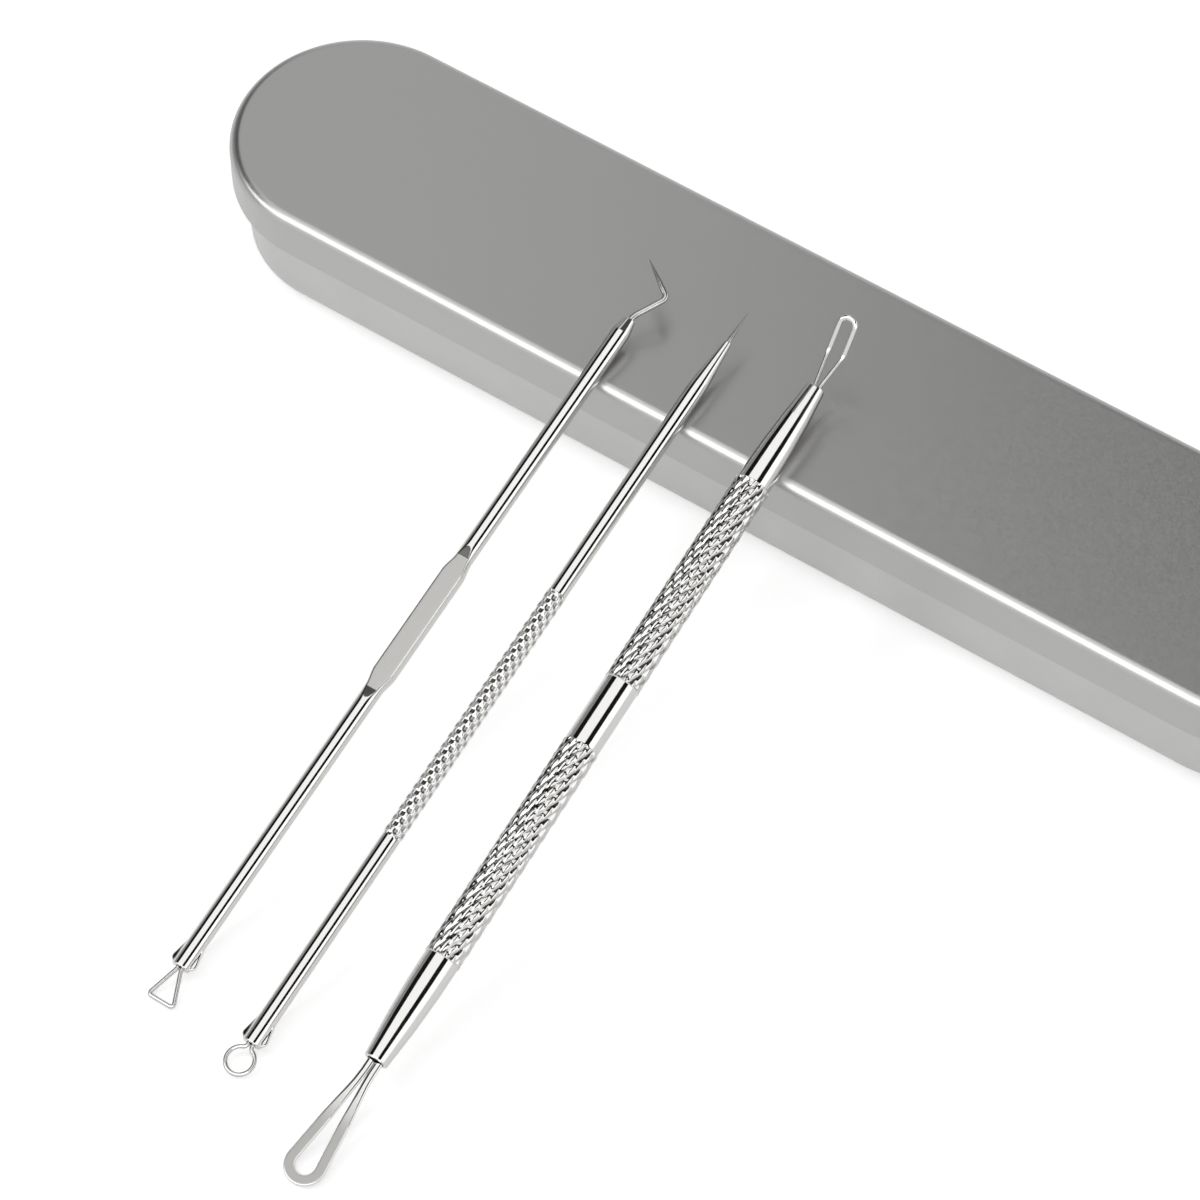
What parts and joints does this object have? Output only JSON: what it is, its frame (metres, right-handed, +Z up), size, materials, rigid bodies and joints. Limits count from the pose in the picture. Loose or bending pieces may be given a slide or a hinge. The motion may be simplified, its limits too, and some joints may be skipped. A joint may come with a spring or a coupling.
{
  "type": "blackhead extractor set",
  "caption": "Slim double-ended steel blackhead extractors with loop and needle tips on knurled or flat-gripped handles, leaning on the rounded slip-lid tin they are kept in.",
  "frame": {"origin": "middle of the tin's flat underside, on the table", "axes": "+X along the tin, +Y across it and away from the tools' lower ends, +Z up"},
  "size_m": [0.1544, 0.1284, 0.027],
  "materials": {
    "tinplate": "satin tinplate",
    "polished_steel": "mirror polished stainless steel"
  },
  "bodies": {
    "tin_base": {"tin_base": "tinplate"},
    "tin_lid": {"tin_lid": "tinplate"},
    "flat_tool": {"flat_handle": "polished_steel", "hook_needle": "polished_steel", "triangle_loop": "polished_steel"},
    "slim_tool": {"slim_handle": "polished_steel", "lancet_needle": "polished_steel", "round_loop": "polished_steel"},
    "knurled_tool": {"knurled_handle": "polished_steel", "wide_loop": "polished_steel", "narrow_loop": "polished_steel"}
  },
  "joints": [
    {"name": "lid_lift", "type": "slide", "parent": "tin_base", "child": "tin_lid", "axis": [0, 0, 1], "range_m": [0, 0.03]},
    {"name": "flat_tool_lift", "type": "slide", "parent": "tin_lid", "child": "flat_tool", "axis": [0, 0, 1], "range_m": [0, 0.03]},
    {"name": "slim_tool_lift", "type": "slide", "parent": "tin_lid", "child": "slim_tool", "axis": [0, 0, 1], "range_m": [0, 0.03]},
    {"name": "knurled_tool_lift", "type": "slide", "parent": "tin_lid", "child": "knurled_tool", "axis": [0, 0, 1], "range_m": [0, 0.03]}
  ]
}
